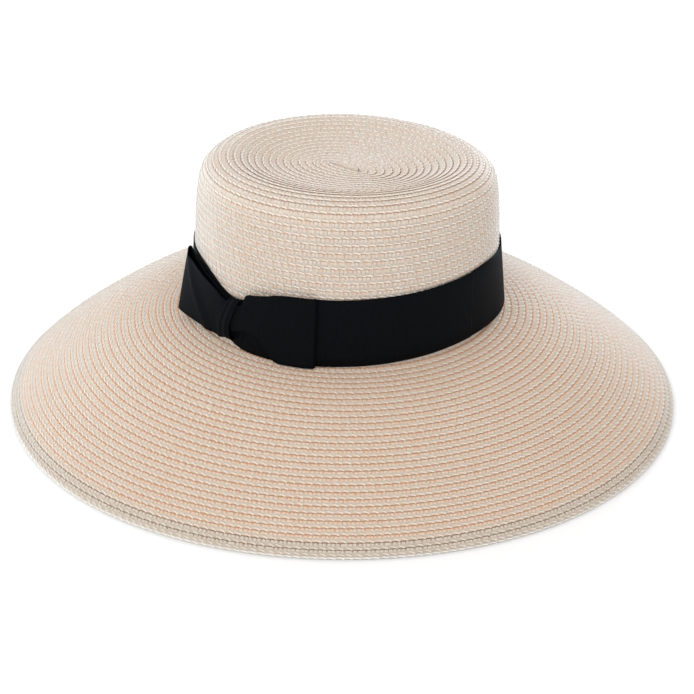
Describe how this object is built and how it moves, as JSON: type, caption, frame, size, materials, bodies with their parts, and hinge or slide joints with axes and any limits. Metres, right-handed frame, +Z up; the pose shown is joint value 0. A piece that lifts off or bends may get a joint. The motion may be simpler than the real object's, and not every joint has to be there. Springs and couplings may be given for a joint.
{
  "type": "wide-brim straw hat",
  "caption": "Hat of sewn straw braid with an oval flat-topped crown, a wide sloping brim and a black ribbon band tied in a flat bow.",
  "frame": {"origin": "middle of the hat on the surface that its rim rests on", "axes": "+Z up through the crown, +X along the long axis of the head oval, and the bow is on the side that faces -Y"},
  "size_m": [0.4386, 0.3824, 0.1661],
  "materials": {
    "straw_braid": "matt cream and peach straw braid, sewn in rows",
    "doubled_braid": "matt grey-beige straw braid in two layers",
    "grosgrain_ribbon": "black ribbed grosgrain with a faint sheen"
  },
  "bodies": {
    "root": {"crown": "straw_braid", "brim": "straw_braid", "brim_edge": "doubled_braid", "ribbon_band": "grosgrain_ribbon", "bow_loop_right": "grosgrain_ribbon", "bow_loop_left": "grosgrain_ribbon", "bow_knot": "grosgrain_ribbon"}
  },
  "joints": []
}
